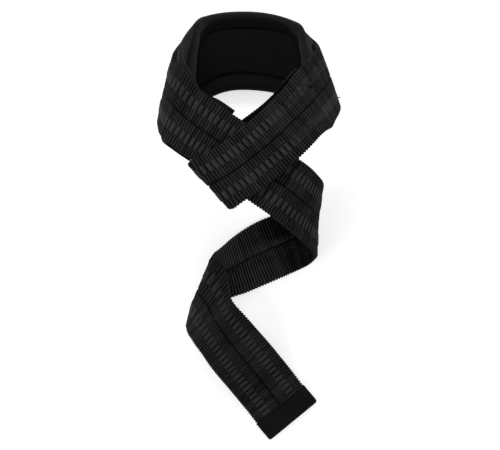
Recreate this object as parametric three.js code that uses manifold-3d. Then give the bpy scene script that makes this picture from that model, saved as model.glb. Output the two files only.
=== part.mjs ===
// A weightlifting strap, laid on a surface: one length of webbing whose folded and
// sewn end makes an eye, a wrist loop with a cushion inside it, and a free tail that
// passes through the eye, turns over twice and ends in a binding.
// Millimetres, +Z up, the strap lies on Z = 0 and is centred on X = 0 and Y = 0.

import * as THREE from 'three';
import Module from 'manifold-3d';
import { mergeVertices } from 'three/addons/utils/BufferGeometryUtils.js';

const wasm = await Module();
wasm.setup();

// Driving dimensions
const lay_width = 116;
const lay_length = 268;
const loop_height = 66;

const strap_width = 38;
const strap_thickness = 2.6;
const layer_gap = 0.8;
const groove_width = 2.4;
const groove_depth = 0.6;
const edge_bevel = 0.7;

const seam_width = 34;
const seam_bite = 0.8;

const pad_overhang = 5.5;
const pad_thickness = 5.5;
const pad_tongue_overhang = 0.5;
const pad_tongue_thickness = 1.5;
const pad_border = 11;
const pad_crease_depth = 1.4;
const pad_crease_width = 1.6;
const pad_round_share = 0.4;
const pad_least_dent = 0.15;
const pad_gap = 0.3;

const binding_length = 12;
const binding_wall = 0.6;
const binding_gap = 0.3;

// The cushion swells and thins over these numbers of rows of the path
const pad_start_full = 0.2;
const pad_rise_rows = 5;
const pad_fall_rows = 3.6;
const pad_past_left_rows = 2;

const steps_per_row = 5;
const binding_steps = 4;

// How far the line across the strap is turned from its row's heading to square with the path
const squareness = 0.35;

const layer_pitch = strap_thickness + layer_gap;
const lowest_middle = strap_thickness / 2;
const binding_lift = binding_gap + binding_wall;

// The middle line of the webbing, from the sewn end to the free end.
// across and along: the place seen from above, as shares of lay_width and lay_length.
// up: the height as a share of loop_height. layer: the place in the stack at the eye.
// turn: the heading of the line across the strap, in degrees from +X. tip: its rise.
// bound: 1 where the end binding lifts the webbing off the table by its own wall.
const path_rows = [
  { name: 'sewn end', across: 0.328, along: 0.289, up: 0.753, layer: 0, turn: 115, tip: -14 },
  { across: 0.295, along: 0.275, up: 0.814, layer: 0, turn: 119, tip: -15 },
  { across: 0.225, along: 0.245, up: 0.882, layer: -0.4, turn: 126, tip: -16 },
  { across: 0.130, along: 0.208, up: 0.929, layer: -1.6, turn: 129, tip: -17 },
  { across: 0.026, along: 0.171, up: 0.964, layer: -1.6, turn: 129, tip: -17 },
  { across: -0.094, along: 0.131, up: 0.997, layer: -1.7, turn: 130, tip: -17 },
  { across: -0.160, along: 0.100, up: 1.026, layer: -1.8, turn: 132, tip: -16 },
  { name: 'eye fold', across: -0.193, along: 0.089, up: 1.045, layer: -0.3, turn: 134, tip: -18 },
  { across: -0.156, along: 0.096, up: 1.029, layer: 1, turn: 132, tip: -17 },
  { across: -0.065, along: 0.120, up: 1.008, layer: 1, turn: 130, tip: -18 },
  { across: 0.053, along: 0.159, up: 0.974, layer: 1, turn: 129, tip: -18 },
  { across: 0.153, along: 0.197, up: 0.938, layer: 1, turn: 129, tip: -18.5 },
  { across: 0.244, along: 0.235, up: 0.886, layer: 1, turn: 126, tip: -19 },
  { name: 'seam start', across: 0.313, along: 0.266, up: 0.814, layer: 1, turn: 119, tip: -18 },
  { name: 'seam end', across: 0.342, along: 0.282, up: 0.753, layer: 1, turn: 115, tip: -17 },
  { across: 0.381, along: 0.304, up: 0.647, layer: 0.6, turn: 112, tip: -11 },
  { name: 'right side', across: 0.418, along: 0.335, up: 0.480, layer: 0, turn: 110, tip: 4 },
  { name: 'pad start', across: 0.396, along: 0.350, up: 0.283, layer: 0, turn: 107, tip: 0 },
  { across: 0.336, along: 0.366, up: 0.124, layer: 0, turn: 103, tip: -1 },
  { across: 0.256, along: 0.384, up: 0.045, layer: 0, turn: 98, tip: 0 },
  { across: 0.143, along: 0.398, up: 0.008, layer: 0, turn: 94, tip: 0 },
  { name: 'back', across: 0.008, along: 0.405, up: 0.000, layer: 0, turn: 90, tip: 0 },
  { across: -0.127, along: 0.402, up: 0.008, layer: 0, turn: 86.5, tip: 0 },
  { across: -0.237, along: 0.388, up: 0.048, layer: 0, turn: 83, tip: 0 },
  { across: -0.312, along: 0.369, up: 0.132, layer: 0, turn: 80, tip: 0 },
  { across: -0.380, along: 0.346, up: 0.283, layer: 0, turn: 77, tip: 0 },
  { name: 'left side', across: -0.426, along: 0.313, up: 0.511, layer: 0, turn: 77, tip: 0 },
  { across: -0.402, along: 0.279, up: 0.702, layer: 0, turn: 77, tip: -6 },
  { across: -0.348, along: 0.248, up: 0.814, layer: 0, turn: 69.5, tip: -10 },
  { across: -0.275, along: 0.222, up: 0.847, layer: 0, turn: 64, tip: -11 },
  { name: 'pad end', across: -0.215, along: 0.204, up: 0.868, layer: 0, turn: 60.2, tip: -12 },
  { name: 'in the eye', across: -0.010, along: 0.142, up: 0.965, layer: 0, turn: 57, tip: -11 },
  { across: 0.117, along: 0.103, up: 1.041, layer: 0, turn: 55.5, tip: -10 },
  { across: 0.176, along: 0.086, up: 1.032, layer: 0, turn: 56.5, tip: -9 },
  { across: 0.227, along: 0.070, up: 0.980, layer: 0, turn: 60, tip: -7 },
  { across: 0.274, along: 0.053, up: 0.897, layer: 0, turn: 67, tip: -4 },
  { across: 0.325, along: 0.034, up: 0.738, layer: 0, turn: 74, tip: 0 },
  { name: 'tail, right side', across: 0.359, along: 0.011, up: 0.526, layer: 0, turn: 84, tip: 0 },
  { across: 0.340, along: -0.010, up: 0.283, layer: 0, turn: 93, tip: 0 },
  { across: 0.282, along: -0.026, up: 0.117, layer: 0, turn: 102, tip: 0 },
  { across: 0.209, along: -0.039, up: 0.033, layer: 0, turn: 109, tip: 0 },
  { across: 0.115, along: -0.055, up: 0.005, layer: 0, turn: 113, tip: 0 },
  { name: 'tail, on the table', across: 0.019, along: -0.075, up: 0.008, layer: 0, turn: 108, tip: 1 },
  { across: -0.068, along: -0.094, up: 0.026, layer: 0, turn: 101, tip: 6 },
  { across: -0.135, along: -0.110, up: 0.056, layer: 0, turn: 91, tip: 11 },
  { across: -0.199, along: -0.128, up: 0.109, layer: 0, turn: 76.5, tip: 11 },
  { name: 'tail, left side', across: -0.242, along: -0.147, up: 0.177, layer: 0, turn: 69.5, tip: 3 },
  { across: -0.240, along: -0.167, up: 0.253, layer: 0, turn: 69, tip: -10 },
  { across: -0.208, along: -0.198, up: 0.298, layer: 0, turn: 61, tip: -23 },
  { across: -0.170, along: -0.229, up: 0.291, layer: 0, turn: 52, tip: -24 },
  { across: -0.115, along: -0.263, up: 0.253, layer: 0, turn: 43.5, tip: -18 },
  { across: 0.030, along: -0.342, up: 0.086, layer: 0, turn: 39.5, tip: -4 },
  { across: 0.123, along: -0.393, up: 0.000, layer: 0, turn: 39.5, tip: 0, bound: 1 },
  { across: 0.164, along: -0.416, up: 0.000, layer: 0, turn: 39.5, tip: 0, bound: 1 },
  { name: 'free end', across: 0.237, along: -0.454, up: 0.000, layer: 0, turn: 39.5, tip: 0, bound: 1 },
];

function rowNamed(name) {
  return path_rows.findIndex((row) => row.name === name);
}

// Where the middle line passes at one row
function rowPoint(row) {
  return new THREE.Vector3(
    row.across * lay_width,
    row.along * lay_length,
    lowest_middle + row.up * loop_height + row.layer * layer_pitch + (row.bound ?? 0) * binding_lift,
  );
}

// The direction across the strap at one row, towards its far edge
function rowAcross(row) {
  const turn = THREE.MathUtils.degToRad(row.turn);
  const tip = THREE.MathUtils.degToRad(row.tip);
  const flat = Math.cos(tip);
  return new THREE.Vector3(flat * Math.cos(turn), flat * Math.sin(turn), Math.sin(tip));
}

// A smooth curve through points that are spaced unevenly, with its slope
class SmoothPath {
  constructor(points, spans) {
    this.points = points;
    this.spans = spans;
    this.slopes = points.map((_, i) => this.slopeAt(i));
  }

  chord(i) {
    const step = new THREE.Vector3().subVectors(this.points[i + 1], this.points[i]);
    return step.divideScalar(this.spans[i]);
  }

  slopeAt(i) {
    const last = this.points.length - 1;
    if (i === 0) return this.chord(0);
    if (i === last) return this.chord(last - 1);
    const before = this.spans[i - 1];
    const after = this.spans[i];
    const slope = this.chord(i - 1).multiplyScalar(after);
    slope.addScaledVector(this.chord(i), before);
    return slope.divideScalar(before + after);
  }

  // place is a row number with a fraction
  at(place) {
    const i = THREE.MathUtils.clamp(Math.floor(place), 0, this.points.length - 2);
    const u = place - i;
    const h = this.spans[i];
    const out = new THREE.Vector3();
    out.addScaledVector(this.points[i], (1 + 2 * u) * (1 - u) * (1 - u));
    out.addScaledVector(this.slopes[i], h * u * (1 - u) * (1 - u));
    out.addScaledVector(this.points[i + 1], u * u * (3 - 2 * u));
    out.addScaledVector(this.slopes[i + 1], h * u * u * (u - 1));
    return out;
  }
}

const row_points = path_rows.map(rowPoint);
const row_spans = row_points.slice(1).map((point, i) => point.distanceTo(row_points[i]));
const middle_line = new SmoothPath(row_points, row_spans);
const across_line = new SmoothPath(path_rows.map(rowAcross), row_spans);

// The strap's own frame at a place: middle, the way across, the way out of its outer
// face, and how far the edge lies along the way across, which is more where it slants
function frameAt(place) {
  const nudge = 0.02;
  const middle = middle_line.at(place);
  const ahead = middle_line.at(place + nudge).sub(middle_line.at(place - nudge)).normalize();
  const across = across_line.at(place).normalize();
  across.addScaledVector(ahead, -squareness * across.dot(ahead)).normalize();
  const out = new THREE.Vector3().crossVectors(ahead, across);
  const slant = out.length();
  out.normalize();
  // A tipped stretch that lies on the table is carried by its lower edge
  const edge_drop = Math.abs(across.z) * (strap_width / 2 / slant);
  middle.z = Math.max(middle.z, edge_drop + Math.abs(out.z) * lowest_middle);
  return { middle, across, out, slant };
}

// The place on the middle line that lies a length before the free end
function placeBeforeEnd(length) {
  const last = path_rows.length - 1;
  return last - length / row_spans[last - 1];
}

// Sweeps a closed section along the strap. sectionAt(place) gives its corners, each with
// side, in mm from the middle line towards the far edge, and lift, in mm outwards.
// lean picks which way each four-sided face is split into two triangles.
function sweep(from, to, steps, sectionAt, lean = 'back') {
  const positions = [];
  const indices = [];
  let count = 0;
  for (let i = 0; i <= steps; i += 1) {
    const place = from + (to - from) * (i / steps);
    const frame = frameAt(place);
    const section = sectionAt(place);
    count = section.length;
    for (const corner of section) {
      const point = frame.middle.clone();
      point.addScaledVector(frame.across, corner.side / frame.slant);
      point.addScaledVector(frame.out, corner.lift);
      positions.push(point.x, point.y, point.z);
    }
  }
  for (let i = 0; i < steps; i += 1) {
    for (let k = 0; k < count; k += 1) {
      const a = i * count + k;
      const b = i * count + ((k + 1) % count);
      if (lean === 'back') indices.push(a, b, a + count, b, b + count, a + count);
      else indices.push(a, b, b + count, a, b + count, a + count);
    }
  }
  closeEnd(indices, sectionAt(from), 0, false);
  closeEnd(indices, sectionAt(to), steps * count, true);
  const geometry = new THREE.BufferGeometry();
  geometry.setAttribute('position', new THREE.Float32BufferAttribute(positions, 3));
  geometry.setIndex(indices);
  return geometry;
}

function closeEnd(indices, section, first, flip) {
  const outline = section.map((corner) => new THREE.Vector2(corner.side, corner.lift));
  for (const [a, b, c] of THREE.ShapeUtils.triangulateShape(outline, [])) {
    if (flip) indices.push(first + a, first + b, first + c);
    else indices.push(first + a, first + c, first + b);
  }
}

function solidFrom(geometry) {
  const merged = mergeVertices(geometry, 1e-4);
  const mesh = new wasm.Mesh({
    numProp: 3,
    vertProperties: new Float32Array(merged.attributes.position.array),
    triVerts: new Uint32Array(merged.index.array),
  });
  return new wasm.Manifold(mesh);
}

function geometryFrom(solid) {
  const mesh = solid.getMesh();
  const geometry = new THREE.BufferGeometry();
  geometry.setAttribute('position', new THREE.BufferAttribute(new Float32Array(mesh.vertProperties), 3));
  geometry.setIndex(new THREE.BufferAttribute(new Uint32Array(mesh.triVerts), 1));
  return geometry;
}

// The corners that the webbing's inner face and the cushion's back share, so that the two
// follow the same twist
function innerRow(lift) {
  const quarter = strap_width / 4;
  const edge = strap_width / 2 - edge_bevel;
  return [-edge, -quarter, 0, quarter, edge].map((side) => ({ side, lift }));
}

// The webbing's section: a flat band with bevelled edges and a groove along its middle
function webbingSection() {
  const half = strap_width / 2;
  const face = strap_thickness / 2;
  const groove = groove_width / 2;
  return [
    { side: -half, lift: -face + edge_bevel },
    ...innerRow(-face),
    { side: half, lift: -face + edge_bevel },
    { side: half, lift: face - edge_bevel },
    { side: half - edge_bevel, lift: face },
    { side: groove, lift: face },
    { side: 0, lift: face - groove_depth },
    { side: -groove, lift: face },
    { side: -half + edge_bevel, lift: face },
    { side: -half, lift: face - edge_bevel },
  ];
}

function boxSection(width, low, high) {
  return [
    { side: -width / 2, lift: low },
    { side: width / 2, lift: low },
    { side: width / 2, lift: high },
    { side: -width / 2, lift: high },
  ];
}

// The webbing in one length, with the eye's two layers sewn into one at the seam
function makeWebbing() {
  const last = path_rows.length - 1;
  const band = solidFrom(sweep(0, last, last * steps_per_row, webbingSection));
  const under = -strap_thickness / 2;
  const section = boxSection(seam_width, under - layer_gap - seam_bite, under + seam_bite);
  const from = rowNamed('seam start');
  const seam = solidFrom(sweep(from, rowNamed('seam end'), steps_per_row, () => section));
  return geometryFrom(band.add(seam));
}

function smoothShare(value) {
  const u = Math.min(Math.max(value, 0), 1);
  return u * u * (3 - 2 * u);
}

// The cushion's section: a panel between two sewn creases and a rounded border each side
function padSection(full) {
  const half = strap_width / 2 + THREE.MathUtils.lerp(pad_tongue_overhang, pad_overhang, full);
  const thick = THREE.MathUtils.lerp(pad_tongue_thickness, pad_thickness, full);
  const top = -strap_thickness / 2 - pad_gap;
  const low = top - thick;
  const round = thick * pad_round_share;
  const crease = half - pad_border;
  const shoulder = pad_crease_width / 2;
  const dent = pad_crease_depth * Math.max(full, pad_least_dent);
  const half_dent = dent / 2;
  const panel = crease / 2;
  const border = crease + pad_border / 2;
  return [
    { side: half - round / 2, lift: top },
    ...innerRow(top).reverse(),
    { side: -half + round / 2, lift: top },
    { side: -half, lift: top - round / 2 },
    { side: -half, lift: low + round },
    { side: -half + round, lift: low },
    { side: -border, lift: low },
    { side: -crease - shoulder, lift: low + half_dent },
    { side: -crease, lift: low + dent },
    { side: -crease + shoulder, lift: low + half_dent },
    { side: -panel, lift: low },
    { side: panel, lift: low },
    { side: crease - shoulder, lift: low + half_dent },
    { side: crease, lift: low + dent },
    { side: crease + shoulder, lift: low + half_dent },
    { side: border, lift: low },
    { side: half - round, lift: low },
    { side: half, lift: low + round },
    { side: half, lift: top - round / 2 },
  ];
}

function makePad() {
  const from = rowNamed('pad start');
  const to = rowNamed('pad end');
  const left = rowNamed('left side');
  const rows = to - from;
  function sectionAt(place) {
    const right_rise = smoothShare(pad_start_full + (place - from) / pad_rise_rows);
    const left_fall = smoothShare((left + pad_past_left_rows - place) / pad_fall_rows);
    return padSection(Math.min(right_rise, left_fall));
  }
  return sweep(from, to, rows * steps_per_row, sectionAt, 'forward');
}

// The binding: a smooth sleeve that is closed over the end of the webbing
function makeBinding() {
  const room = strap_thickness / 2 + binding_gap;
  const cover = room + binding_wall;
  const from = placeBeforeEnd(binding_length);
  const inner_end = placeBeforeEnd(-binding_gap);
  const outer_end = placeBeforeEnd(-binding_lift);
  const inner_width = strap_width + 2 * binding_gap;
  const outside = boxSection(inner_width + 2 * binding_wall, -cover, cover);
  const inside = boxSection(inner_width, -room, room);
  const open_end = placeBeforeEnd(binding_length + binding_wall);
  const sleeve = solidFrom(sweep(from, outer_end, binding_steps, () => outside));
  const hollow = solidFrom(sweep(open_end, inner_end, binding_steps, () => inside));
  return geometryFrom(sleeve.subtract(hollow));
}

function clothMaterial(color, roughness) {
  return new THREE.MeshStandardMaterial({ color, roughness, metalness: 0 });
}

function namedMesh(name, geometry, material) {
  const mesh = new THREE.Mesh(geometry, material);
  mesh.name = name;
  return mesh;
}

const strap = new THREE.Group();
strap.add(namedMesh('webbing_strap', makeWebbing(), clothMaterial(0x1c1c1d, 0.8)));
strap.add(namedMesh('wrist_pad', makePad(), clothMaterial(0x101011, 0.9)));
strap.add(namedMesh('end_binding', makeBinding(), clothMaterial(0x1e1e1f, 0.7)));

const centre = new THREE.Box3().setFromObject(strap).getCenter(new THREE.Vector3());
strap.position.set(-centre.x, -centre.y, 0);

export default strap;
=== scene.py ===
"""The looks of a weightlifting strap that lies on a pale floor, seen from straight above."""

import bpy
import numpy as np
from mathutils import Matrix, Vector


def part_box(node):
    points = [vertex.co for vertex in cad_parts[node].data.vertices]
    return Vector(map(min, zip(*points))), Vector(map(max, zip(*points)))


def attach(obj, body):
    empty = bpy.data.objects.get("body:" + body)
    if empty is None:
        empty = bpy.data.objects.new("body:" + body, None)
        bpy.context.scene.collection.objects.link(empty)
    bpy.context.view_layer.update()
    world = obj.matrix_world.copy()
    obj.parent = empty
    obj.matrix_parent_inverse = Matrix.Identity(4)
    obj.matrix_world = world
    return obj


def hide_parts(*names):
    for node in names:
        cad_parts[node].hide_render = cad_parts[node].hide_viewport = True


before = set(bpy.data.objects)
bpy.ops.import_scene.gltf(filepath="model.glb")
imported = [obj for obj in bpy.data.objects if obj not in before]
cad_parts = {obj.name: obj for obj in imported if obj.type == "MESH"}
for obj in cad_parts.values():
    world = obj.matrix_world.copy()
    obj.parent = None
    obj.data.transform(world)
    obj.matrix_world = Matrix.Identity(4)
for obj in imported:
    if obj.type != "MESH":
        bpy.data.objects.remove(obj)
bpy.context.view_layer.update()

scene = bpy.context.scene

# The camera looks straight down from 1.15 m
CAMERA_PLACE = (0.0004, 0.0010, 1.15)
CAMERA_LENS = 131.8
CAMERA_SENSOR = 36

camera_data = bpy.data.cameras.new("camera")
camera_data.lens = CAMERA_LENS
camera_data.sensor_width = CAMERA_SENSOR
camera = bpy.data.objects.new("camera", camera_data)
camera.location = CAMERA_PLACE
scene.collection.objects.link(camera)
scene.camera = camera

MM = 0.001

# Driving dimensions, in millimetres, as in the CAD
LAY_WIDTH = 116
LAY_LENGTH = 268
LOOP_HEIGHT = 66
STRAP_WIDTH = 38
STRAP_THICKNESS = 2.6
LAYER_GAP = 0.8
PAD_OVERHANG = 5.5
PAD_THICKNESS = 5.5
PAD_TONGUE_OVERHANG = 0.5
PAD_TONGUE_THICKNESS = 1.5
PAD_GAP = 0.3
BINDING_LENGTH = 12
BINDING_WALL = 0.6
BINDING_GAP = 0.3

# As in the CAD too: how far the line across the strap is turned from its row's heading to
# square with the path, and over how many rows the cushion swells and thins
SQUARENESS = 0.35
PAD_START_FULL = 0.2
PAD_RISE_ROWS = 5
PAD_FALL_ROWS = 3.6
PAD_PAST_LEFT_ROWS = 2
CAD_STEPS_PER_ROW = 5

half, face = STRAP_WIDTH / 2, STRAP_THICKNESS / 2
layer_pitch = STRAP_THICKNESS + LAYER_GAP
lowest_middle = STRAP_THICKNESS / 2
binding_lift = BINDING_GAP + BINDING_WALL

# The middle line of the webbing, from the sewn end to the free end. Its columns:
# across and along: the place seen from above, as shares of LAY_WIDTH and LAY_LENGTH
# up: the height as a share of LOOP_HEIGHT
# layer: the place in the stack at the eye
# turn and tip: the heading of the line across the strap, in degrees from +X, and its rise
# bound: 1 where the end binding lifts the webbing off the table by its own wall
PATH_ROWS = [
    (0.328, 0.289, 0.753, 0, 115, -14, 0),
    (0.295, 0.275, 0.814, 0, 119, -15, 0),
    (0.225, 0.245, 0.882, -0.4, 126, -16, 0),
    (0.130, 0.208, 0.929, -1.6, 129, -17, 0),
    (0.026, 0.171, 0.964, -1.6, 129, -17, 0),
    (-0.094, 0.131, 0.997, -1.7, 130, -17, 0),
    (-0.160, 0.100, 1.026, -1.8, 132, -16, 0),
    (-0.193, 0.089, 1.045, -0.3, 134, -18, 0),
    (-0.156, 0.096, 1.029, 1, 132, -17, 0),
    (-0.065, 0.120, 1.008, 1, 130, -18, 0),
    (0.053, 0.159, 0.974, 1, 129, -18, 0),
    (0.153, 0.197, 0.938, 1, 129, -18.5, 0),
    (0.244, 0.235, 0.886, 1, 126, -19, 0),
    (0.313, 0.266, 0.814, 1, 119, -18, 0),
    (0.342, 0.282, 0.753, 1, 115, -17, 0),
    (0.381, 0.304, 0.647, 0.6, 112, -11, 0),
    (0.418, 0.335, 0.480, 0, 110, 4, 0),
    (0.396, 0.350, 0.283, 0, 107, 0, 0),
    (0.336, 0.366, 0.124, 0, 103, -1, 0),
    (0.256, 0.384, 0.045, 0, 98, 0, 0),
    (0.143, 0.398, 0.008, 0, 94, 0, 0),
    (0.008, 0.405, 0.000, 0, 90, 0, 0),
    (-0.127, 0.402, 0.008, 0, 86.5, 0, 0),
    (-0.237, 0.388, 0.048, 0, 83, 0, 0),
    (-0.312, 0.369, 0.132, 0, 80, 0, 0),
    (-0.380, 0.346, 0.283, 0, 77, 0, 0),
    (-0.426, 0.313, 0.511, 0, 77, 0, 0),
    (-0.402, 0.279, 0.702, 0, 77, -6, 0),
    (-0.348, 0.248, 0.814, 0, 69.5, -10, 0),
    (-0.275, 0.222, 0.847, 0, 64, -11, 0),
    (-0.215, 0.204, 0.868, 0, 60.2, -12, 0),
    (-0.010, 0.142, 0.965, 0, 57, -11, 0),
    (0.117, 0.103, 1.041, 0, 55.5, -10, 0),
    (0.176, 0.086, 1.032, 0, 56.5, -9, 0),
    (0.227, 0.070, 0.980, 0, 60, -7, 0),
    (0.274, 0.053, 0.897, 0, 67, -4, 0),
    (0.325, 0.034, 0.738, 0, 74, 0, 0),
    (0.359, 0.011, 0.526, 0, 84, 0, 0),
    (0.340, -0.010, 0.283, 0, 93, 0, 0),
    (0.282, -0.026, 0.117, 0, 102, 0, 0),
    (0.209, -0.039, 0.033, 0, 109, 0, 0),
    (0.115, -0.055, 0.005, 0, 113, 0, 0),
    (0.019, -0.075, 0.008, 0, 108, 1, 0),
    (-0.068, -0.094, 0.026, 0, 101, 6, 0),
    (-0.135, -0.110, 0.056, 0, 91, 11, 0),
    (-0.199, -0.128, 0.109, 0, 76.5, 11, 0),
    (-0.242, -0.147, 0.177, 0, 69.5, 3, 0),
    (-0.240, -0.167, 0.253, 0, 69, -10, 0),
    (-0.208, -0.198, 0.298, 0, 61, -23, 0),
    (-0.170, -0.229, 0.291, 0, 52, -24, 0),
    (-0.115, -0.263, 0.253, 0, 43.5, -18, 0),
    (0.030, -0.342, 0.086, 0, 39.5, -4, 0),
    (0.123, -0.393, 0.000, 0, 39.5, 0, 1),
    (0.164, -0.416, 0.000, 0, 39.5, 0, 1),
    (0.237, -0.454, 0.000, 0, 39.5, 0, 1),
]
NAMED_ROWS = {
    "sewn end": 0,
    "eye fold": 7,
    "seam start": 13,
    "seam end": 14,
    "right side": 16,
    "pad start": 17,
    "back": 21,
    "left side": 26,
    "pad end": 30,
    "tail, right side": 37,
    "tail, on the table": 42,
    "tail, left side": 46,
}

across_share, along_share, up_share, layer, turn, tip, bound = np.array(PATH_ROWS, float).T
row_heights = lowest_middle + up_share * LOOP_HEIGHT + layer * layer_pitch + bound * binding_lift
row_points = np.stack([across_share * LAY_WIDTH, along_share * LAY_LENGTH, row_heights], 1)
turn, tip = np.radians(turn), np.radians(tip)
row_across = np.stack([np.cos(tip) * np.cos(turn), np.cos(tip) * np.sin(turn), np.sin(tip)], 1)
row_spans = np.linalg.norm(np.diff(row_points, axis=0), axis=1)
LAST = len(PATH_ROWS) - 1


def slopes_of(points):
    """The slope of a smooth curve at each row."""
    chords = np.diff(points, axis=0) / row_spans[:, None]
    before, after = row_spans[:-1, None], row_spans[1:, None]
    inner = (chords[:-1] * after + chords[1:] * before) / (before + after)
    return np.vstack([chords[:1], inner, chords[-1:]])


point_slopes = slopes_of(row_points)
across_slopes = slopes_of(row_across)


def curve_at(points, slopes, places):
    """A smooth curve through the rows; a place is a row number with a fraction."""
    i = np.clip(np.floor(places).astype(int), 0, LAST - 1)
    u = (places - i)[:, None]
    h = row_spans[i][:, None]
    return (
        points[i] * (1 + 2 * u) * (1 - u) ** 2
        + slopes[i] * h * u * (1 - u) ** 2
        + points[i + 1] * u * u * (3 - 2 * u)
        + slopes[i + 1] * h * u * u * (u - 1)
    )


def unit(v):
    return v / np.linalg.norm(v, axis=-1, keepdims=True)


def frames_at(places):
    """The strap's own frame at each place: its middle, the way across, the way out, and the
    slant, which is below 1 where the line across isn't square with the path."""
    places = np.asarray(places, float)
    nudge = 0.02
    middle = curve_at(row_points, point_slopes, places)
    ahead = unit(
        curve_at(row_points, point_slopes, places + nudge)
        - curve_at(row_points, point_slopes, places - nudge)
    )
    across = unit(curve_at(row_across, across_slopes, places))
    lean = np.sum(across * ahead, 1, keepdims=True)
    across = unit(across - SQUARENESS * lean * ahead)
    out = np.cross(ahead, across)
    slant = np.linalg.norm(out, axis=1)
    out = unit(out)
    edge_drop = np.abs(across[:, 2]) * (half / slant)
    middle[:, 2] = np.maximum(middle[:, 2], edge_drop + np.abs(out[:, 2]) * lowest_middle)
    return middle, across, out, slant


def strap_points(places, sides, lifts):
    """Points on sections of the strap. sides and lifts have a row for each place."""
    middle, across, out, slant = frames_at(places)
    reach = sides / slant[:, None]
    return middle[:, None] + across[:, None] * reach[..., None] + out[:, None] * lifts[..., None]


# Lengths along the middle line, so that the weave keeps its pitch
FINE_STEPS_PER_ROW = 60
fine_places = np.linspace(0, LAST, LAST * FINE_STEPS_PER_ROW + 1)
fine_line = frames_at(fine_places)[0]
fine_spans = np.linalg.norm(np.diff(fine_line, axis=0), axis=1)
fine_lengths = np.concatenate([[0], np.cumsum(fine_spans)])
strap_length = fine_lengths[-1]


def places_for(lengths):
    """The places at these lengths along the strap. Past its end the strap runs straight on."""
    inside = np.interp(lengths, fine_lengths, fine_places)
    beyond = np.maximum(lengths - strap_length, 0) / row_spans[-1]
    return inside + beyond


def length_at(place):
    return float(np.interp(place, fine_places, fine_lengths))


# The CAD centres its model, so the same plain band is laid over its box
plain_places = np.linspace(0, LAST, LAST * CAD_STEPS_PER_ROW + 1)
plain_sides = np.tile([-half, half], (len(plain_places), 1))
plain = strap_points(plain_places, plain_sides, np.zeros_like(plain_sides)).reshape(-1, 3)
cad_low, cad_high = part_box("webbing_strap")
shift = np.zeros(3)
for k in (0, 1):
    shift[k] = (cad_low[k] + cad_high[k]) / 2 - (plain[:, k].min() + plain[:, k].max()) / 2 * MM


def placed(points):
    """Points in the model's frame, in metres. What would sink into the table lies flat on it."""
    moved = points * MM + shift
    moved[..., 2] = np.maximum(moved[..., 2], 0)
    return moved


def smooth_share(value):
    """0 below 0, 1 above 1, and a smooth step between them."""
    u = np.clip(value, 0, 1)
    return u * u * (3 - 2 * u)


def near_row(places, name, after, reach):
    """1 at the place that lies after a named row, fading over reach rows to both sides."""
    return np.exp(-(((places - NAMED_ROWS[name] - after) / reach) ** 2))


def past_row(places, name, after, reach):
    """0 up to that place, then 1 from reach rows past it."""
    return smooth_share((places - NAMED_ROWS[name] - after) / reach)


def before_row(places, name, after, reach):
    """1 up to reach rows before that place, then 0 from the place on."""
    return smooth_share((NAMED_ROWS[name] + after - places) / reach)


def link(name, mesh, materials):
    for material in materials:
        mesh.materials.append(material)
    piece = bpy.data.objects.new(name, mesh)
    scene.collection.objects.link(piece)
    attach(piece, "root")
    return piece


def face_outwards(mesh):
    """Turns the faces outwards if the closed mesh is inside out."""
    corners = np.zeros(len(mesh.vertices) * 3)
    mesh.vertices.foreach_get("co", corners)
    corners = corners.reshape(-1, 3)
    mesh.calc_loop_triangles()
    triangles = np.zeros(len(mesh.loop_triangles) * 3, np.int32)
    mesh.loop_triangles.foreach_get("vertices", triangles)
    p, q, r = (corners[triangles.reshape(-1, 3)[:, k]] for k in range(3))
    if np.sum(p * np.cross(q, r)) < 0:
        mesh.flip_normals()


def tube_mesh(name, tubes):
    """A mesh of closed tubes. Each tube holds, for each section and corner, its points, the
    material numbers of the faces that start there, its weave coordinates across and along
    in millimetres, its relief, which follows how high it stands in the weave from 0 to 1 and
    paints shade in hollows and creases and highlights on tops, and its tone, which adds
    random tone and painted light and shade."""
    corners, faces, numbers, flats, shades = [], [], [], [], []
    for points, kinds, across_mm, along_mm, relief, tone in tubes:
        steps, count = points.shape[:2]
        made = sum(len(part) for part in corners)
        index = np.arange(steps * count).reshape(steps, count) + made
        here, ahead = index[:-1], index[1:]
        quads = np.stack([here, np.roll(here, -1, 1), np.roll(ahead, -1, 1), ahead], -1)
        faces += [tuple(quad) for quad in quads.reshape(-1, 4).tolist()]
        faces += [tuple(index[0][::-1].tolist()), tuple(index[-1].tolist())]
        numbers.append(kinds[:-1].reshape(-1))
        numbers.append(np.full(2, kinds[0, 0]))
        corners.append(placed(points).reshape(-1, 3))
        flats.append(np.stack([across_mm.reshape(-1), along_mm.reshape(-1)], 1))
        shades.append(np.stack([relief.reshape(-1), tone.reshape(-1)], 1))
    mesh = bpy.data.meshes.new(name)
    mesh.from_pydata(np.concatenate(corners).tolist(), [], faces)
    mesh.polygons.foreach_set("material_index", np.concatenate(numbers).astype(np.int32))
    mesh.polygons.foreach_set("use_smooth", np.ones(len(faces), bool))
    loops = np.zeros(len(mesh.loops), np.int32)
    mesh.loops.foreach_get("vertex_index", loops)
    for layer_name, values in (("weave", flats), ("relief", shades)):
        uv_layer = mesh.uv_layers.new(name=layer_name)
        uv_layer.data.foreach_set("uv", np.concatenate(values)[loops].reshape(-1).astype(np.float32))
    mesh.update()
    face_outwards(mesh)
    return mesh


# Lengths in millimetres
THREAD_RADIUS = 0.3
THREAD_CORNERS = 6
THREAD_POINTS = 5
THREAD_STEP = 0.4
THREAD_TAPER = 0.25
THREAD_RELIEF = 0.6
# A direction that no thread runs along
ASKEW = np.array([0.31, 0.17, 0.93])


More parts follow.
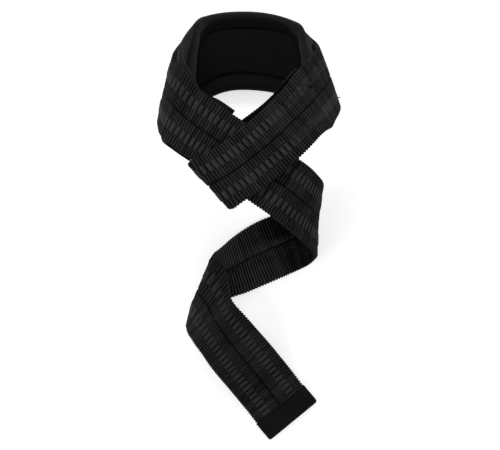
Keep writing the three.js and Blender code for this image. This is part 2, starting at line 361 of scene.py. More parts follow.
def thread(centres, kind):
    """A short round thread through a line of centres, as one of tube_mesh's tubes."""
    ahead = unit(np.gradient(centres, axis=0))
    sideways = unit(np.cross(ahead, ASKEW))
    upward = np.cross(ahead, sideways)
    angles = np.linspace(0, 2 * np.pi, THREAD_CORNERS, endpoint=False)[None, :]
    taper = np.sqrt(np.sin(np.linspace(THREAD_TAPER, np.pi - THREAD_TAPER, len(centres))))
    ring = np.cos(angles)[..., None] * sideways[:, None] + np.sin(angles)[..., None] * upward[:, None]
    points = centres[:, None] + THREAD_RADIUS * taper[:, None, None] * ring
    flat = np.ones(points.shape[:2])
    along = np.arange(len(centres))[:, None] * flat * THREAD_STEP
    return points, np.full(flat.shape, kind), angles * flat, along, flat * THREAD_RELIEF, flat * 0


# Parts of a material

SHEEN_ROUGHNESS = 0.5
# A noise mostly lies between these two values
NOISE_LOW, NOISE_HIGH = 0.3, 0.7


def shader(name, base, roughness, specular, sheen):
    """A new material and its surface node."""
    material = bpy.data.materials.new(name)
    material.use_nodes = True
    cloth = material.node_tree.nodes["Principled BSDF"]
    cloth.inputs["Base Color"].default_value = (*base, 1)
    cloth.inputs["Roughness"].default_value = roughness
    cloth.inputs["Specular IOR Level"].default_value = specular
    cloth.inputs["Sheen Weight"].default_value = sheen
    cloth.inputs["Sheen Roughness"].default_value = SHEEN_ROUGHNESS
    return material, cloth


def mapped(tree, stretch):
    """Weave coordinates in millimetres, stretched."""
    place = tree.nodes.new("ShaderNodeUVMap")
    place.uv_map = "weave"
    mapping = tree.nodes.new("ShaderNodeMapping")
    mapping.inputs["Scale"].default_value = stretch
    tree.links.new(place.outputs["UV"], mapping.inputs["Vector"])
    return mapping.outputs["Vector"]


def noise(tree, stretch, scale, detail):
    made = tree.nodes.new("ShaderNodeTexNoise")
    made.inputs["Scale"].default_value = scale
    made.inputs["Detail"].default_value = detail
    tree.links.new(mapped(tree, stretch), made.inputs["Vector"])
    return made.outputs["Fac"]


def ramp(tree, value, stops):
    made = tree.nodes.new("ShaderNodeValToRGB")
    for element, (position, color) in zip(made.color_ramp.elements, stops):
        element.position = position
        element.color = (*color, 1)
    tree.links.new(value, made.inputs["Fac"])
    return made.outputs["Color"]


def ranged(tree, value, low, high):
    """A noise stretched to the range from low to high."""
    made = tree.nodes.new("ShaderNodeMapRange")
    made.inputs["From Min"].default_value = NOISE_LOW
    made.inputs["From Max"].default_value = NOISE_HIGH
    made.inputs["To Min"].default_value = low
    made.inputs["To Max"].default_value = high
    tree.links.new(value, made.inputs["Value"])
    return made.outputs["Result"]


def bump(tree, cloth, value, distance, strength):
    made = tree.nodes.new("ShaderNodeBump")
    made.inputs["Distance"].default_value = distance
    made.inputs["Strength"].default_value = strength
    tree.links.new(value, made.inputs["Height"])
    tree.links.new(made.outputs["Normal"], cloth.inputs["Normal"])


def relief_of(tree):
    """The relief, which paints shade in hollows and highlights on tops, and the tone, which holds random
    tone and painted light and shade, kept beside the weave coordinates.
    """
    place = tree.nodes.new("ShaderNodeUVMap")
    place.uv_map = "relief"
    parts = tree.nodes.new("ShaderNodeSeparateXYZ")
    tree.links.new(place.outputs["UV"], parts.inputs["Vector"])
    return parts.outputs["X"], parts.outputs["Y"]


def scaled_sum(tree, value, scale, more):
    """value times scale, plus more."""
    made = tree.nodes.new("ShaderNodeMath")
    made.operation = "MULTIPLY_ADD"
    made.inputs[1].default_value = scale
    tree.links.new(value, made.inputs[0])
    tree.links.new(more, made.inputs[2])
    return made.outputs[0]


# Webbing: cotton yarns with fuzz and uneven dye

WEBBING_ROUGHNESS = 0.8
WEBBING_SPECULAR = 0.02
YARN_STRETCH = (0.52, 0.2, 1)
YARN_WAVER = 1.2
YARN_DETAIL = 2
YARN_SHARE = 0.6
YARN_HEIGHT = 0.15 * MM
YARN_STRENGTH = 0.8
DYE_SHARE = 0.2
# HEIGHT_SHARE is how far the relief moves the colour: painted shade in the valleys, painted highlights on
# the tops
HEIGHT_SHARE = 0.6
VALLEY_STOP, CREST_STOP = 0.38, 0.95


def webbing_material(name, valley, crest, sheen, fuzz_share=0.45, streak_share=0.0):
    """Yarns run along the band, 0.6 mm apart. The colour goes from the dark valley colour to the
    light crest colour with random dye, fuzz and streaks, which run along the ribs, and with the
    relief, which paints shade in the valleys between the ribs and highlights on their tops."""
    material, cloth = shader(name, valley, WEBBING_ROUGHNESS, WEBBING_SPECULAR, sheen)
    tree = material.node_tree
    yarns = tree.nodes.new("ShaderNodeTexWave")
    yarns.wave_type = "BANDS"
    yarns.bands_direction = "X"
    yarns.inputs["Scale"].default_value = 1
    yarns.inputs["Distortion"].default_value = YARN_WAVER
    yarns.inputs["Detail"].default_value = YARN_DETAIL
    tree.links.new(mapped(tree, YARN_STRETCH), yarns.inputs["Vector"])
    fuzz = noise(tree, (1, 1, 1), scale=1.1, detail=5)
    dye = noise(tree, (1, 0.35, 1), scale=0.28, detail=4)
    streaks = noise(tree, (0.3, 1.6, 1), scale=1.0, detail=3)
    height, shade = relief_of(tree)
    tone = scaled_sum(tree, dye, DYE_SHARE, shade)
    tone = scaled_sum(tree, fuzz, fuzz_share, tone)
    tone = scaled_sum(tree, streaks, streak_share, tone)
    tone = scaled_sum(tree, height, HEIGHT_SHARE, tone)
    color = ramp(tree, tone, [(VALLEY_STOP, valley), (CREST_STOP, crest)])
    tree.links.new(color, cloth.inputs["Base Color"])
    tree.links.new(ranged(tree, fuzz, low=0.7, high=0.95), cloth.inputs["Roughness"])
    surface = scaled_sum(tree, yarns.outputs["Fac"], YARN_SHARE, fuzz)
    bump(tree, cloth, surface, YARN_HEIGHT, YARN_STRENGTH)
    return material


# Each valley colour is painted shade between the ribs, and each crest colour a painted highlight on their
# tops
rib_cloth = webbing_material(
    "rib_cloth",
    valley=(0.0016, 0.0016, 0.0016),
    crest=(0.0245, 0.0245, 0.0249),
    sheen=0.035,
)
bar_cloth = webbing_material(
    "bar_cloth",
    valley=(0.0012, 0.0012, 0.0012),
    crest=(0.0285, 0.0285, 0.029),
    sheen=0.05,
    fuzz_share=0.1,
    streak_share=0.35,
)
inner_cloth = webbing_material(
    "inner_cloth",
    valley=(0.0004, 0.0004, 0.0004),
    crest=(0.060, 0.060, 0.0608),
    sheen=0.03,
)


# Pad, tape and thread: cloth with an even grain and slow, soft changes of tone

PAD_ROUGHNESS = 0.85
PAD_SPECULAR = 0.06
GRAIN_SHARE = 0.3
GRAIN_STRENGTH = 0.6
SLOW_SCALE = 0.12
SLOW_SHARE = 0.12
CREASE_SHARE = 0.3
DARK_STOP, LIGHT_STOP = 0.34, 0.85


def smooth_material(name, dark, light, grain, grain_height, sheen):
    """Its creases get painted shade. grain is how fine the grain is, and grain_height is in metres."""
    material, cloth = shader(name, dark, PAD_ROUGHNESS, PAD_SPECULAR, sheen)
    tree = material.node_tree
    fine = noise(tree, (1, 1, 1), scale=grain, detail=6)
    slow = noise(tree, (1, 1, 1), scale=SLOW_SCALE, detail=2)
    height, shade = relief_of(tree)
    tone = scaled_sum(tree, slow, SLOW_SHARE, shade)
    tone = scaled_sum(tree, fine, GRAIN_SHARE, tone)
    tone = scaled_sum(tree, height, CREASE_SHARE, tone)
    color = ramp(tree, tone, [(DARK_STOP, dark), (LIGHT_STOP, light)])
    tree.links.new(color, cloth.inputs["Base Color"])
    tree.links.new(ranged(tree, fine, low=0.75, high=0.95), cloth.inputs["Roughness"])
    bump(tree, cloth, fine, grain_height, GRAIN_STRENGTH)
    return material


# The panel's darker colour is partly its smoother cloth and partly painted shade in the hollow of the loop;
# the rim's lighter colour is partly its coarser grain and partly painted light on the rounded rim and end
# rolls, which face the lamps
shaded_panel_cloth = smooth_material(
    "shaded_panel_cloth",
    dark=(0.0030, 0.0030, 0.0030),
    light=(0.0125, 0.0125, 0.0125),
    grain=1.6,
    grain_height=0.00006,
    sheen=0.02,
)
lit_rim_cloth = smooth_material(
    "lit_rim_cloth",
    dark=(0.0050, 0.0050, 0.0050),
    light=(0.0250, 0.0250, 0.0250),
    grain=2.4,
    grain_height=0.0005,
    sheen=0.09,
)
tape_cloth = smooth_material(
    "tape_cloth",
    dark=(0.0020, 0.0020, 0.0020),
    light=(0.0185, 0.0185, 0.0188),
    grain=0.5,
    grain_height=0.0002,
    sheen=0.06,
)
thread_cloth = smooth_material(
    "thread_cloth",
    dark=(0.006, 0.006, 0.006),
    light=(0.020, 0.020, 0.020),
    grain=3.0,
    grain_height=0.00005,
    sheen=0.15,
)


# The webbing: ribs across it, two rows of raised bars and a groove on its outer face, and
# plain ribs on its inner face. The ribs of its two halves are half a rib apart. Lengths are
# in millimetres.

rng = np.random.default_rng(7)
LEFT, RIGHT = 0, 1
RIB, BAR, INNER, LOOSE = range(4)

# Ribs
RIB_PITCH = 1.91
TAIL_RIB_PITCH = 1.73
STEPS_PER_RIB = 4
SPARE_RIBS = 5
UNWOVEN_END = 0.6
RIB_DEPTH = 0.6
DEPTH_SPREAD = 0.12
TONE_SPREAD = 0.07
# Painted highlights on the rib tops and painted shade in the valleys: RIB_SHINE is the tops' relief,
# RIB_SHARPNESS how fast it falls towards a valley, and the contrasts scale it, more near the edges and less
# at the tail's end
RIB_SHINE = 0.95
RIB_SHARPNESS = 2.5
RIB_CONTRAST = 0.78
EDGE_CONTRAST = 0.32
EDGE_CONTRAST_FROM = 13
EDGE_CONTRAST_REACH = 3
CONTRAST_LOST_AT_END = 0.2
CREST_LIGHT = 0.08
MIDDLE_RELIEF = 0.5

# Bars. BAR_LIP, BAR_GAP_AT and BAR_GAP_BLEND are shares of a bar's length.
BAR_MIDDLE = 9.7
BAR_HALF = 2.8
BAR_RISE = 0.25
BAR_SINK = 0.34
BAR_BLEND = 0.6
BAR_BLEND_PAST = 0.25
BAR_LIP = 0.12
BAR_LIP_LEVEL = 1.3
BAR_SLOPE = 0.9
BAR_GAP_AT = 0.62
BAR_GAP_BLEND = 0.26
BAR_GAP_DEPTH = 0.6

# The groove down the middle, with painted shade in it
GROOVE_DEPTH = 0.85
GROOVE_FLAT = 0.1
GROOVE_SLOPE = 0.7
GROOVE_RELIEF = -0.1

# The two edges, with painted shade in the notches between their ribs
EDGE_NOTCH = 0.75
EDGE_NOTCH_LOST_IN_EYE = 0.5
EDGE_SHINE = 0.6
EDGE_CROWN = 0.1
EDGE_LIFTS = face * np.array([0.5, 0, -0.5])

# Over the seam the cloth is felted and the bars run together, and a tack pulls it in, with painted shade in
# its dimple
FELTED = 0.75
FELT_SPREAD = 0.12
TACK_SIDE = 7.0
TACK_WIDTH = 1.2
TACK_LENGTH = 1.3
TACK_DEPTH = 0.9
TACK_SHADE = 0.9

OUTER_SIDES = np.array(
    [0.5, 1.1, 1.8, 3.2, 4.8, 6.0, 6.6, 7.2, 8.4, 9.7, 11.0, 12.2, 12.8, 13.4, 14.8, 16.4, 17.6, 18.3]
)
INNER_SIDES = np.array([0.45, 1.1, 3.5, 7, 10.5, 14, 16.8, 18.3])
outer_row = np.concatenate([-OUTER_SIDES[::-1], [0], OUTER_SIDES])
inner_row = np.concatenate([-INNER_SIDES[::-1], [0], INNER_SIDES])

# The beat of the weave is a little shorter in the tail, which was never stretched
beat_from, beat_to = length_at(NAMED_ROWS["pad end"]), length_at(NAMED_ROWS["tail, left side"])
steps = [0.0]
while steps[-1] < strap_length - UNWOVEN_END:
    share = smooth_share((steps[-1] - beat_from) / (beat_to - beat_from))
    steps.append(steps[-1] + (RIB_PITCH + (TAIL_RIB_PITCH - RIB_PITCH) * share) / STEPS_PER_RIB)
lengths = np.array(steps)
places = places_for(lengths)
rib_count = len(lengths) // STEPS_PER_RIB + SPARE_RIBS


def rib_profile(phase):
    """1 on top of a rib and 0 in the narrow valley between two."""
    return 1 - (0.5 + 0.5 * np.cos(2 * np.pi * phase)) ** 2


def bar_profile(phase):
    """A bar that starts with a raised lip and slopes down to a sunken gap before the next. As relief it
    paints a highlight on the lip and shade in the gap.
    """
    u = phase - np.floor(phase)
    gap = BAR_GAP_DEPTH * smooth_share((u - BAR_GAP_AT) / BAR_GAP_BLEND)
    return np.clip(u / BAR_LIP, 0, 1) * (BAR_LIP_LEVEL - BAR_SLOPE * u) * (1 - gap)


def per_rib(phase, spread):
    """One steady random number for each rib. The first is left for a rib before the sewn end."""
    table = rng.normal(0, spread, rib_count)
    return table[np.floor(phase).astype(int) + 1]


# Painted light: the crests are brighter after the tail's left bend
crest_light = CREST_LIGHT * near_row(places, "tail, left side", after=2.5, reach=1.6)
rib_steps = np.arange(len(lengths)) / STEPS_PER_RIB
phases = [rib_steps, rib_steps + 0.5]
bar_phases = [rib_steps / 2 + 0.25, rib_steps / 2 + 0.75]
depths = [RIB_DEPTH * (1 + per_rib(phase, DEPTH_SPREAD)) for phase in phases]
valleys = [depth * (1 - rib_profile(phase)) for depth, phase in zip(depths, phases)]
tones = [per_rib(phase, TONE_SPREAD) + crest_light for phase in phases]

felted = FELTED * past_row(places, "seam start", after=-2.2, reach=0.8)
felted = felted * before_row(places, "pad start", after=0, reach=0.8)
tack_length = length_at(NAMED_ROWS["seam end"] + 0.1)


def hand_of(side):
    return LEFT if side < 0 else RIGHT


def outer_face(side):
    """The lift and the relief of the outer face at one distance from the middle."""
    far, hand = abs(side), hand_of(side)
    ribs = valleys[hand]
    contrast = RIB_CONTRAST + EDGE_CONTRAST * smooth_share((far - EDGE_CONTRAST_FROM) / EDGE_CONTRAST_REACH)
    contrast = contrast * (1 - CONTRAST_LOST_AT_END * past_row(places, "tail, left side", after=3, reach=3))
    relief = RIB_SHINE * (1 - ribs / depths[hand]) ** RIB_SHARPNESS
    relief = MIDDLE_RELIEF + (relief - MIDDLE_RELIEF) * contrast
    flat = smooth_share((far - GROOVE_FLAT) / GROOVE_SLOPE)
    lift = face - ribs * flat - GROOVE_DEPTH * (1 - flat)
    relief = relief * flat + GROOVE_RELIEF * (1 - flat)
    on_bar = smooth_share((BAR_HALF + BAR_BLEND_PAST - abs(far - BAR_MIDDLE)) / BAR_BLEND)
    felt = MIDDLE_RELIEF + per_rib(phases[LEFT], FELT_SPREAD)
    shape = bar_profile(bar_phases[hand]) * (1 - felted) + felt * felted
    bar = face - BAR_SINK + (BAR_SINK + BAR_RISE) * shape
    lift = lift * (1 - on_bar) + bar * on_bar
    relief = relief * (1 - on_bar) + shape * on_bar
    tack_across = ((side - TACK_SIDE) / TACK_WIDTH) ** 2
    tack = np.exp(-tack_across - ((lengths - tack_length) / TACK_LENGTH) ** 2)
    return lift - TACK_DEPTH * tack, relief - TACK_SHADE * tack


# Painted shade darkens the inner face in the folded eye and under the tail's first bend, more on
# its upper part under that bend, and its ribs lose contrast in both; painted light brightens its
# upper part on the crown of the left bend, and painted shade fills its groove. Its left half is a
# little darker all along.
INNER_RELIEF = 0.68
INNER_DEPTH = 1.2
INNER_TONE = 0.4
INNER_LEFT_SHADE = 0.1
INNER_GROOVE_HALF = 0.9
INNER_GROOVE_DEPTH = 0.35
INNER_GROOVE_SHADE = 0.4
EYE_SHADE = 0.17
EYE_CONTRAST_LOST = 0.6
BEND_SHADE = 0.22
BEND_CONTRAST_LOST = 0.55
UPPER_FROM = 1
UPPER_REACH = 6
UPPER_SHADE = 0.2
CROWN_TONE = 0.24
CROWN_CONTRAST = 1.3

on_tail = past_row(places, "pad end", after=2, reach=2)
inner_shade = -EYE_SHADE * before_row(places, "eye fold", after=1, reach=1)
inner_shade = inner_shade - BEND_SHADE * before_row(places, "tail, on the table", after=-0.5, reach=2)
under_bend = on_tail * before_row(places, "tail, on the table", after=1, reach=3)
inner_contrast = 1 - BEND_CONTRAST_LOST * under_bend
inner_contrast = inner_contrast - EYE_CONTRAST_LOST * before_row(places, "eye fold", after=0.5, reach=1)
upper_shade = UPPER_SHADE * on_tail * before_row(places, "tail, on the table", after=1.2, reach=2)
crown_light = near_row(places, "tail, left side", after=-1.9, reach=1.1)


def inner_face(side):
    """The lift, the relief and the tone of the inner face at one distance from the middle."""
    hand = hand_of(side)
    ribs = valleys[hand]
    groove = max(0.0, 1 - abs(side) / INNER_GROOVE_HALF)
    upper = smooth_share((side - UPPER_FROM) / UPPER_REACH)
    tone = INNER_TONE * tones[hand] + inner_shade - (INNER_LEFT_SHADE if hand == LEFT else 0)
    tone = tone + upper * (CROWN_TONE * crown_light - upper_shade)
    contrast = inner_contrast + CROWN_CONTRAST * upper * crown_light
    relief = INNER_RELIEF + ((1 - ribs / depths[hand]) ** 2 - INNER_RELIEF) * contrast
    lift = -face + ribs * INNER_DEPTH + INNER_GROOVE_DEPTH * groove
    return lift, relief - INNER_GROOVE_SHADE * groove, tone


columns = []
in_eye = before_row(places, "eye fold", after=0.5, reach=1)
edge_notch = EDGE_NOTCH * (1 - EDGE_NOTCH_LOST_IN_EYE * in_eye)


def add_column(side, lift, relief, tone, kind):
    """One line of points along the strap."""
    flat = np.ones_like(lengths)
    columns.append((side * flat, lift * flat, relief * flat, tone * flat, kind))


def add_edge(hand, lifts):
    """The edge of one half, notched between its ribs, with painted shade in the notches."""
    notch = edge_notch * valleys[hand] / RIB_DEPTH
    way = -1 if hand == LEFT else 1
    for lift in lifts:
        side = way * (half - notch - EDGE_CROWN * abs(lift))
        add_column(side, lift, EDGE_SHINE - notch, tones[hand], RIB)


# The columns go once round the section
for side in inner_row:
    add_column(side, *inner_face(side), INNER)
add_edge(RIGHT, EDGE_LIFTS[::-1])
for side in outer_row[::-1]:
    kind = BAR if abs(abs(side) - BAR_MIDDLE) < BAR_HALF else RIB
    add_column(side, *outer_face(side), tones[hand_of(side)], kind)
add_edge(LEFT, EDGE_LIFTS)
web_sides, web_lifts, web_relief, web_tone = (np.stack([c[k] for c in columns], 1) for k in range(4))
web_kinds = np.tile([c[4] for c in columns], (len(lengths), 1))

# Where the middle of the band bows outwards: row, rows after it, height
BOWED = [
    ("eye fold", 0, 0.6),
    ("right side", 0, 0.6),
    ("left side", 0.4, 0.9),
    ("tail, left side", 0.7, 2.9),
]
# Where a fold or a bend draws the edges in, or lets them spread where a share is below 0:
# the nearest named row, how many rows after it, the shares of the lower and of the upper
# edge, and the reach in rows
DRAWN_IN = [
    ("sewn end", 2.3, 0, 0.07, 1.2),
    ("eye fold", 0, 0.08, 0.04, 0.5),
    ("seam start", -0.3, 0.06, 0, 0.9),
    ("seam end", 1.1, 0.05, 0, 0.8),
    ("left side", 0, 0, 0.07, 0.8),
    ("left side", 1.8, 0.07, 0, 0.8),
    ("tail, right side", 1.2, 0.07, 0, 0.9),
    ("tail, on the table", -1, -0.05, 0, 1.0),
    ("tail, on the table", 1.9, 0.09, 0, 0.8),
    ("tail, left side", -2, 0, 0.21, 1.7),
    ("tail, left side", -0.4, 0, 0.14, 0.6),
    ("tail, left side", 1.1, 0.14, 0, 0.45),
    ("tail, left side", 2.6, -0.04, 0.07, 0.7),
]
for name, after, height in BOWED:
    near = near_row(places, name, after, reach=1)[:, None]
    web_lifts = web_lifts + height * near * (1 - (web_sides / half) ** 2)
lower_side = web_sides < 0
for name, after, share_low, share_high, reach in DRAWN_IN:
    near = near_row(places, name, after, reach)[:, None]
    web_sides = web_sides * (1 - near * np.where(lower_side, share_low, share_high))
web_along = np.repeat(lengths[:, None], web_sides.shape[1], 1)
web_points = strap_points(places, web_sides, web_lifts)

# One loose thread sticks out at the right side: its two ends, by place, side and height
# over the face
LOOSE_FROM = (15.9, -12, -0.6)
LOOSE_TO = (15.95, -13.4, 1.8)
loose_places, loose_sides, loose_heights = np.linspace(LOOSE_FROM, LOOSE_TO, THREAD_POINTS).T
loose_line = strap_points(loose_places, loose_sides[:, None], face + loose_heights[:, None])[:, 0]
loose = thread(loose_line, LOOSE)

band = (web_points, web_kinds, web_sides, web_along, web_relief, web_tone)
web_mesh = tube_mesh("webbing_cloth", [band, loose])
webbing = link("webbing_cloth", web_mesh, [rib_cloth, bar_cloth, inner_cloth, thread_cloth])
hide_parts("webbing_strap")


# The cushion: a panel inside a sewn crease, a puffed border round it, and a thin tongue
# that runs on under the strap. Lengths are in millimetres.

PANEL, RIM, STITCH = range(3)

# How it starts, swells and stands out
PAD_STEP = 0.8
PAD_EARLY = 5
SWELL_START_FULL = 0.35
SWELL_ROWS = 2.8
END_START_FULL = 0.3
END_LENGTH = 4
UPPER_STAND_OUT = 0.5
LOWER_STAND_IN = 0.45

# The panel: its ends in rows past the pad's start and past the back, its level as a share
# of the thickness, and the radii of its corners
PANEL_START_ROWS = 1.45
PANEL_END_ROWS = 2.9
PANEL_HALF = 14
PANEL_LEVEL = 0.62
PANEL_CROWN = 0.05
PANEL_CROWN_REACH = 5
UPPER_RIGHT_CORNER = 14.0
UPPER_LEFT_CORNER = 12.0
LOWER_CORNERS = 4.0

# The border round the panel, and the roll at each end, with painted light on the top of each roll and
# painted shade on its flanks
BORDER_START = 0.5
BORDER_RISE = 6.5
ROLL_START = 0.4
ROLL_WIDTH = 16
ROLL_FULLNESS = 0.7
ROLL_LEVEL = 1.05
ROLL_BLEND = 2.5
END_REACH = 24
ROLL_PAINTED_SHADING = 0.3
ROLL_PAINTED_SHADING_MIDDLE = 0.6

# The rounded rim, and the line that sets it off
RIM_LEAST = 0.5
UPPER_RIM = 3.3
UPPER_RIM_MORE = 3.2
LOWER_RIM = 2.1
RIM_LINE = 0.4
RIM_LINE_DEPTH = 0.5
RIM_LINE_FADE = 0.85
LEAST_ROUND = 0.4

# The sewn crease, with painted shade along it
CREASE_DEPTH = 1.3
CREASE_REACH = 0.75
CREASE_SHADE = 0.6
CREASE_SHADE_REACH = 0.9

# The tongue, with painted shade where it lies under the strap's edge
TONGUE_PAINTED_SHADE = -0.3
TONGUE_STAND_OUT = 2.4
TONGUE_TIP = 6

pad_start, pad_end = length_at(NAMED_ROWS["pad start"]), length_at(NAMED_ROWS["pad end"])
panel_start = length_at(NAMED_ROWS["pad start"] + PANEL_START_ROWS)
panel_end = length_at(NAMED_ROWS["back"] + PANEL_END_ROWS)
pad_lengths = np.arange(pad_start - PAD_EARLY, pad_end, PAD_STEP)
pad_places = places_for(pad_lengths)
on_tongue = pad_places > NAMED_ROWS["left side"] + PAD_PAST_LEFT_ROWS

# Along the pad: how full its width is, and how puffed its height
rows_in = pad_places - NAMED_ROWS["pad start"]
left_fall = before_row(pad_places, "left side", after=PAD_PAST_LEFT_ROWS, reach=PAD_FALL_ROWS)
full = np.minimum(smooth_share(PAD_START_FULL + rows_in / PAD_RISE_ROWS), left_fall)
end_swell = smooth_share(END_START_FULL + (pad_lengths - pad_lengths[0]) / END_LENGTH)
right_swell = smooth_share(SWELL_START_FULL + rows_in / SWELL_ROWS) * end_swell
puff = np.minimum(right_swell, left_fall)
pad_half = half + PAD_TONGUE_OVERHANG + (PAD_OVERHANG - PAD_TONGUE_OVERHANG) * full
pad_thick = PAD_TONGUE_THICKNESS + (PAD_THICKNESS - PAD_TONGUE_THICKNESS) * puff
pad_top = -face - PAD_GAP
swell = puff[:, None]


def panel_distance(along, side):
    """How far outside the panel's rounded outline a point lies."""
    middle = (panel_start + panel_end) / 2
    upper_corner = np.where(along < middle, UPPER_RIGHT_CORNER, UPPER_LEFT_CORNER)
    corner = np.where(side > 0, upper_corner, LOWER_CORNERS)
    x = np.abs(along - middle) - (panel_end - panel_start) / 2 + corner
    y = np.abs(side) - PANEL_HALF + corner
    outside = np.hypot(np.maximum(x, 0), np.maximum(y, 0))
    return outside + np.minimum(np.maximum(x, y), 0) - corner


# Across the pad the points crowd towards its edges. The tongue stands out a little past the
# upper edge of the left arm.
POINTS_ACROSS = 81
CROWDING = 1.15
shares = np.linspace(-1, 1, POINTS_ACROSS)
shares = np.sign(shares) * (1 - (1 - np.abs(shares)) ** CROWDING)
tongue_out = TONGUE_STAND_OUT * past_row(pad_places, "left side", after=2.2, reach=1.5)
upper_edge = (pad_half + (tongue_out + UPPER_STAND_OUT * full))[:, None]
lower_edge = (pad_half - LOWER_STAND_IN * full)[:, None]
edge_at = np.where(shares > 0, upper_edge, lower_edge)
side_grid = edge_at * shares[None, :]
along_grid = np.repeat(pad_lengths[:, None], POINTS_ACROSS, 1)
from_panel = panel_distance(along_grid, side_grid)
from_edge = edge_at - np.abs(side_grid)
beyond = np.maximum(panel_start - along_grid, along_grid - panel_end)
near_end = smooth_share((beyond + END_REACH) / END_REACH)
at_end = smooth_share(beyond / ROLL_BLEND)

# The height of each point: the panel, the border that rises round it, and the roll at each
# end, less the crease round the panel and the line that sets off the rim
border = smooth_share((from_panel - BORDER_START) / BORDER_RISE)
roll = np.sin(np.pi * np.clip((from_panel - ROLL_START) / ROLL_WIDTH, 0, 1)) ** ROLL_FULLNESS
pillow = np.where(
    from_panel < 0,
    PANEL_LEVEL + PANEL_CROWN * (1 - np.exp(from_panel / PANEL_CROWN_REACH)),
    PANEL_LEVEL + (1 - PANEL_LEVEL) * border,
)
pillow = pillow * (1 - at_end) + (PANEL_LEVEL + (ROLL_LEVEL - PANEL_LEVEL) * roll) * at_end
pillow = 1 + (pillow - 1) * swell
rim = RIM_LEAST + np.where(shares > 0, UPPER_RIM + UPPER_RIM_MORE * near_end, LOWER_RIM) * swell
over_rim = np.sqrt(1 - (1 - np.clip(from_edge / rim, 0, 1)) ** 2)
rounding = LEAST_ROUND + (1 - LEAST_ROUND) * over_rim
crease = CREASE_DEPTH * swell * np.exp(-((from_panel / CREASE_REACH) ** 2))
rim_line = RIM_LINE_DEPTH * swell * np.exp(-(((from_edge - rim - RIM_LINE) / RIM_LINE) ** 2))
rim_line = rim_line * (1 - RIM_LINE_FADE * near_end)
pad_low = pad_top - (pad_thick[:, None] * pillow * rounding - crease - rim_line)

# The walls and the flat back close the section
WALL_SHARES = np.array([0.3, 0.12])
BACK_POINTS = 13
BACK_INSET = 0.8
back_shares = np.linspace(1, -1, BACK_POINTS + 2)[1:-1]
back_sides = (pad_half[:, None] - BACK_INSET) * back_shares[None, :]
back_lifts = np.full_like(back_sides, pad_top)
wall_lifts = pad_top - pad_thick[:, None] * WALL_SHARES[None, :]
upper_wall = np.repeat(upper_edge, len(WALL_SHARES), 1)
lower_wall = np.repeat(-lower_edge, len(WALL_SHARES), 1)
pad_sides = np.concatenate([side_grid, upper_wall, back_sides, lower_wall], 1)
pad_lifts = np.concatenate([pad_low, wall_lifts, back_lifts, wall_lifts[:, ::-1]], 1)
pad_along = np.repeat(pad_lengths[:, None], pad_sides.shape[1], 1)
pad_points = strap_points(pad_places, pad_sides, pad_lifts)

# The upper rim and the rolls at the ends are of a rougher cloth than the panel, and lighter with painted
# light where they face the lamps
RIM_PAST = 0.2
ROLL_PAST = 0.6
on_rim = (from_edge < rim + RIM_PAST) & (side_grid > 0)
on_roll = (beyond > 0) & (from_panel > ROLL_PAST) & (side_grid > -PANEL_HALF)
pad_kinds = np.full(pad_sides.shape, RIM)
pad_kinds[:, :POINTS_ACROSS] = np.where(on_rim | on_roll, RIM, PANEL)
pad_kinds[on_tongue] = PANEL
pad_relief = np.full(pad_sides.shape, MIDDLE_RELIEF)
# Painted shade in the sewn crease round the panel
creased = CREASE_SHADE * np.exp(-((from_panel / CREASE_SHADE_REACH) ** 2)) * swell
pad_relief[:, :POINTS_ACROSS] = MIDDLE_RELIEF - creased
# Painted light on the top of each end roll and painted shade on its flanks
pad_tone = np.zeros(pad_sides.shape)
pad_tone[:, :POINTS_ACROSS] = ROLL_PAINTED_SHADING * (roll - ROLL_PAINTED_SHADING_MIDDLE) * at_end * swell
# Painted shade on the tongue where it lies under the strap's edge
pad_tone[on_tongue] = TONGUE_PAINTED_SHADE

STITCH_HALF = 0.85
STITCH_LIFTS = np.array([-0.25, 0.12, 0.25, 0.12, -0.25])
STITCH_PITCH = 2.6
STITCHES_EACH_SIDE = 5
STITCH_OUT = 1.6


def pad_stitch(along, side):
    """A stitch that crosses the end of the panel."""
    sides = side + np.linspace(-STITCH_HALF, STITCH_HALF, THREAD_POINTS)
    row = int(np.argmin(np.abs(pad_lengths - along)))
    lifts = np.interp(sides, side_grid[row], pad_low[row]) - STITCH_LIFTS
    stitch_places = places_for(np.full(THREAD_POINTS, along))
    return thread(strap_points(stitch_places, sides[:, None], lifts[:, None])[:, 0], STITCH)


stitches = [
    pad_stitch(along, number * STITCH_PITCH)
    for along in (panel_end + STITCH_OUT, panel_start - STITCH_OUT)
    for number in range(-STITCHES_EACH_SIDE, STITCHES_EACH_SIDE + 1)
]

# The upper corner of the tongue shows a little past the pad's end, in the same painted shade
TIP_SECTIONS = 10
TIP_OVERLAP = 2
TIP_WIDTH = 7
TIP_NARROWS = 4
TIP_LIFTS = [1.3, 1.3, 0.1, 0.1]
tip_shares = np.linspace(0, 1, TIP_SECTIONS)
tip_length = TONGUE_TIP + TIP_OVERLAP
tip_places = places_for(pad_end - TIP_OVERLAP + tip_length * tip_shares)
tip_edge = np.full(TIP_SECTIONS, half + PAD_TONGUE_OVERHANG + TONGUE_STAND_OUT)
tip_inner = tip_edge - TIP_WIDTH + TIP_NARROWS * tip_shares
tip_sides = np.stack([tip_inner, tip_edge, tip_edge, tip_inner], 1)
tip_lifts = pad_top - np.tile(TIP_LIFTS, (TIP_SECTIONS, 1))
tip_flat = np.ones(tip_sides.shape)
tongue_tip = (
    strap_points(tip_places, tip_sides, tip_lifts),
    np.full(tip_sides.shape, PANEL),
    tip_sides,
    tip_shares[:, None] * tip_flat * tip_length,
    MIDDLE_RELIEF * tip_flat,
    TONGUE_PAINTED_SHADE * tip_flat,
)

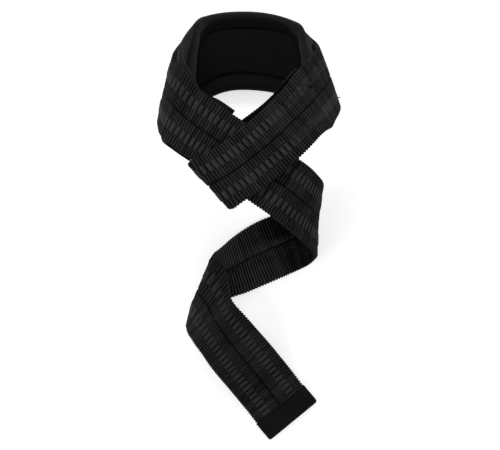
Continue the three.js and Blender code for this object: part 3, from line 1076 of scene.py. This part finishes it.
cushion = (pad_points, pad_kinds, pad_sides, pad_along, pad_relief, pad_tone)
pad_mesh = tube_mesh("pad_cushion", [cushion, *stitches, tongue_tip])
pad = link("pad_cushion", pad_mesh, [shaded_panel_cloth, lit_rim_cloth, thread_cloth])
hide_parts("wrist_pad")


# The tape that binds the free end: a flat sleeve with folded corners. Lengths are in
# millimetres.

TAPE_SECTIONS = 30
TAPE_CORNERS = 96
TAPE_EXTRA = 0.4
TAPE_SIDE_POWER = 0.12
TAPE_FACE_POWER = 0.35
TAPE_RELIEF = 0.6
# How much flatter and narrower it gets at its very end
SQUEEZE = 0.35
SQUEEZE_LENGTH = 1.6
CORNER_ROUND = 0.045
CORNER_LENGTH = 1.4
# The crease of each folded corner, on the face that shows, with painted shade along it
FOLD_DEPTH = 0.35
FOLD_SLOPE = 0.9
FOLD_REACH = 1.1
FOLD_SHADE = 1.6
FOLD_ABOVE = 1.0


def squared(wave, power):
    """A wave from -1 to 1 with its round tops made flat."""
    return np.sign(wave) * np.abs(wave) ** power


bind_from = strap_length - BINDING_LENGTH
bind_to = strap_length + binding_lift + TAPE_EXTRA
bind_lengths = np.linspace(bind_from, bind_to, TAPE_SECTIONS)
around = np.linspace(0, 2 * np.pi, TAPE_CORNERS, endpoint=False)
wide = half + BINDING_GAP
cover = face + BINDING_GAP + BINDING_WALL
squeeze = 1 - SQUEEZE * smooth_share((bind_lengths - bind_to + SQUEEZE_LENGTH) / SQUEEZE_LENGTH)
corner_rise = smooth_share((bind_lengths - bind_to + CORNER_LENGTH) / CORNER_LENGTH)
corner_round = 1 - CORNER_ROUND * corner_rise**2
bind_sides = wide * squared(np.cos(around), TAPE_SIDE_POWER)[None, :] * corner_round[:, None]
bind_lifts = cover * squared(np.sin(around), TAPE_FACE_POWER)[None, :] * squeeze[:, None]
fold_line = (bind_lengths[:, None] - bind_from) * FOLD_SLOPE
fold = FOLD_DEPTH * np.exp(-(((np.abs(bind_sides) - fold_line) / FOLD_REACH) ** 2))
bind_lifts = bind_lifts - fold * (bind_lifts > FOLD_ABOVE)
sleeve = (
    strap_points(places_for(bind_lengths), bind_sides, bind_lifts),
    np.zeros(bind_sides.shape, int),
    bind_sides,
    np.repeat(bind_lengths[:, None], TAPE_CORNERS, 1),
    TAPE_RELIEF - FOLD_SHADE * fold,
    np.zeros(bind_sides.shape),
)
tape = link("end_tape", tube_mesh("end_tape", [sleeve]), [tape_cloth])
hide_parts("end_binding")


# Stage and light, in metres

scene.view_settings.view_transform = "Standard"
scene.view_settings.look = "None"

WHITE = (1, 1, 1, 1)
FLOOR_HALF = 3
FLOOR_TOP = -0.0002
FLOOR_GLOW = 0.6
WORLD_LIGHT = 0.55
# Soft lamps: name, place, the point that it shines on, size, and power in watts
LAMPS = [
    ("top", (-0.3, 1.2, 0.8), (0, 0.05, 0), (1.0, 0.5), 11),
    ("left", (-1.0, -0.6, 0.7), (0, 0, 0), (0.6, 0.5), 6),
    ("right", (1.2, 0.2, 0.5), (0, 0, 0), (0.6, 0.4), 3),
]

floor_mesh = bpy.data.meshes.new("floor")
floor_corners = [
    (x * FLOOR_HALF, y * FLOOR_HALF, FLOOR_TOP) for x, y in [(-1, -1), (1, -1), (1, 1), (-1, 1)]
]
floor_mesh.from_pydata(floor_corners, [], [(0, 1, 2, 3)])
floor = bpy.data.objects.new("floor", floor_mesh)
scene.collection.objects.link(floor)
paper, sheet = shader("paper", base=(0.6, 0.6, 0.6), roughness=0.9, specular=0.1, sheen=0)
sheet.inputs["Emission Color"].default_value = WHITE
sheet.inputs["Emission Strength"].default_value = FLOOR_GLOW
floor_mesh.materials.append(paper)

world = bpy.data.worlds.new("studio")
world.use_nodes = True
world.node_tree.nodes["Background"].inputs["Color"].default_value = WHITE
world.node_tree.nodes["Background"].inputs["Strength"].default_value = WORLD_LIGHT
scene.world = world

for name, place, target, size, power in LAMPS:
    light = bpy.data.lights.new(name, "AREA")
    light.shape = "RECTANGLE"
    light.size, light.size_y = size
    light.energy = power
    lamp = bpy.data.objects.new(name, light)
    lamp.location = place
    lamp.rotation_euler = (Vector(target) - Vector(place)).to_track_quat("-Z", "Y").to_euler()
    scene.collection.objects.link(lamp)
